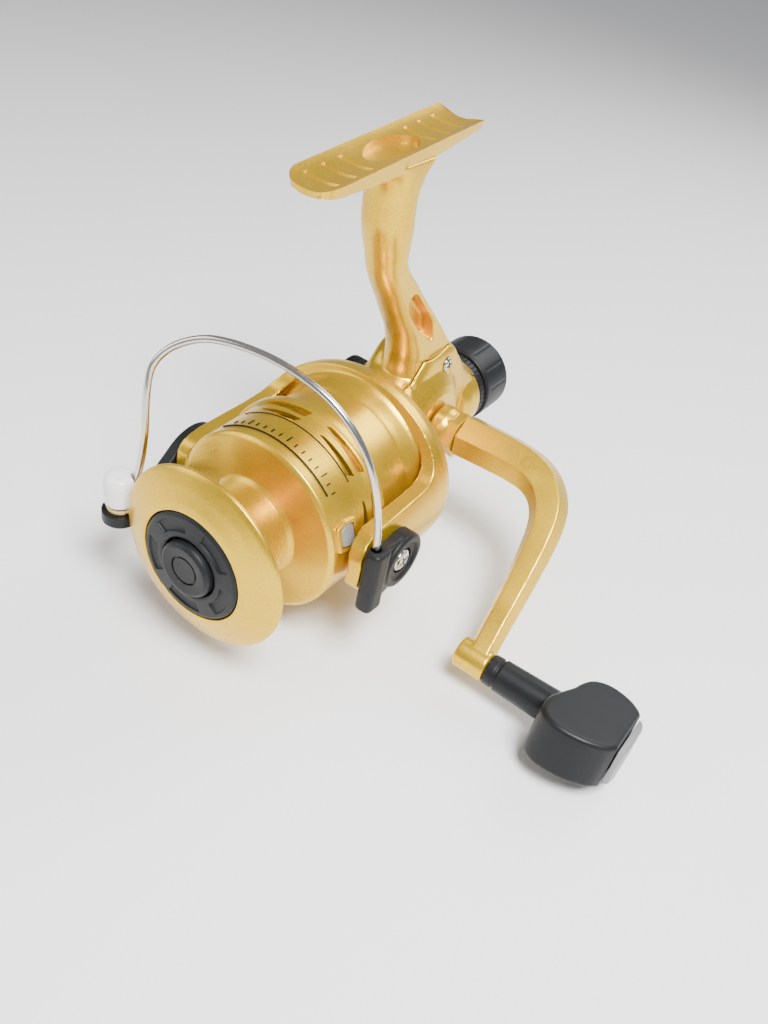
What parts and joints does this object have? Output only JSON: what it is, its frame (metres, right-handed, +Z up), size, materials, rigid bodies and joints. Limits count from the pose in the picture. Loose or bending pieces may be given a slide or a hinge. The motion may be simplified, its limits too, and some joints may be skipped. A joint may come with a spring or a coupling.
{
  "type": "spinning reel",
  "caption": "Rear-drag spinning fishing reel with a cranked handle, folding bail, sliding spool and a foot that clamps to a rod.",
  "frame": {"origin": "centre of the foot's seat, where the reel meets the rod", "axes": "+Z up to the rod, -Y forward along the spool axis to where the line leaves, +X to the handle side"},
  "size_m": [0.1568, 0.1545, 0.1405],
  "materials": {
    "gold_paint": "satin metallic gold coat over a light alloy",
    "black_plastic": "charcoal black moulded plastic, faintly sheened",
    "grey_plastic": "light grey moulded plastic",
    "steel": "bright stainless steel",
    "brass": "turned brass",
    "zinc": "die-cast grey alloy",
    "white_cap": "glossy white cap",
    "felt": "greased felt"
  },
  "bodies": {
    "body": {"housing": "gold_paint", "side_cover": "gold_paint", "cover_screw_top": "steel", "cover_screw_front": "steel", "cover_screw_rear": "steel", "rear_collar": "black_plastic", "bearing_left": "steel", "bearing_right": "steel", "pinion_bearing": "steel", "one_way_clutch": "steel", "drag_spring": "steel", "drag_disc_steel": "steel", "drag_disc_rear": "steel"},
    "crank": {"drive_gear": "zinc", "handle_screw_cap": "black_plastic", "handle_hub": "gold_paint", "handle_arm": "gold_paint", "knob_spindle": "steel"},
    "knob": {"handle_knob": "black_plastic", "knob_end_cap": "grey_plastic"},
    "rotor": {"rotor": "gold_paint", "pinion_gear": "brass", "rotor_nut": "brass", "bail_screw_right": "steel", "bail_screw_left": "steel", "bail_spring": "steel"},
    "bail": {"bail_wire": "steel", "bail_holder": "black_plastic", "bail_arm": "black_plastic", "roller_cap": "white_cap", "roller_pin": "steel"},
    "roller": {"line_roller": "brass"},
    "worm": {"worm_shaft": "zinc"},
    "carriage": {"oscillation_slider": "zinc"},
    "spool": {"spool": "gold_paint", "front_cap": "black_plastic", "line_clip": "grey_plastic", "main_shaft": "steel", "button_spring": "steel"},
    "button": {"push_button": "black_plastic"},
    "drag_disc": {"drag_disc_felt": "felt"},
    "drag_knob": {"drag_knob": "black_plastic", "drag_spindle": "brass"},
    "lever": {"anti_reverse_lever": "black_plastic"}
  },
  "joints": [
    {"name": "handle_turn", "type": "hinge", "parent": "body", "child": "crank", "pos_m": [0, 0.036, -0.0942], "axis": [1, 0, 0], "continuous": true},
    {"name": "knob_spin", "type": "hinge", "parent": "crank", "child": "knob", "pos_m": [0, -0.01324, -0.12742], "axis": [1, 0, 0], "continuous": true},
    {"name": "rotor_spin", "type": "hinge", "parent": "body", "child": "rotor", "pos_m": [0, 0, -0.1007], "axis": [0, 1, 0], "continuous": true},
    {"name": "bail_flip", "type": "hinge", "parent": "rotor", "child": "bail", "pos_m": [0, -0.0206, -0.1007], "axis": [1, 0, 0], "range_deg": [0, 98]},
    {"name": "line_roller_spin", "type": "hinge", "parent": "bail", "child": "roller", "pos_m": [-0.0342, -0.057, -0.1007], "axis": [0, 0, 1], "continuous": true},
    {"name": "worm_turn", "type": "hinge", "parent": "body", "child": "worm", "pos_m": [0, 0, -0.1122], "axis": [0, 1, 0], "continuous": true},
    {"name": "spool_stroke", "type": "slide", "parent": "body", "child": "carriage", "axis": [0, 1, 0], "range_m": [0, 0.014]},
    {"name": "drag_slip", "type": "hinge", "parent": "carriage", "child": "spool", "pos_m": [0, 0, -0.1007], "axis": [0, 1, 0], "continuous": true},
    {"name": "button_press", "type": "slide", "parent": "spool", "child": "button", "axis": [0, 1, 0], "range_m": [0, 0.002], "stiffness_N_per_m": 900, "springref_m": -0.001},
    {"name": "drag_disc_turn", "type": "hinge", "parent": "body", "child": "drag_disc", "pos_m": [0, 0, -0.1007], "axis": [0, 1, 0], "continuous": true},
    {"name": "drag_adjust", "type": "hinge", "parent": "body", "child": "drag_knob", "pos_m": [0, 0, -0.1007], "axis": [0, 1, 0], "range_deg": [-540, 540]},
    {"name": "anti_reverse_switch", "type": "hinge", "parent": "body", "child": "lever", "pos_m": [0, 0.049, -0.1207], "axis": [0, 0, 1], "range_deg": [-20, 20]}
  ],
  "couplings": [
    {"joint": "rotor_spin", "follows": "handle_turn", "ratio": -5.125},
    {"joint": "worm_turn", "follows": "handle_turn", "ratio": 3.1538},
    {"joint": "drag_disc_turn", "follows": "drag_slip", "ratio": 1}
  ]
}
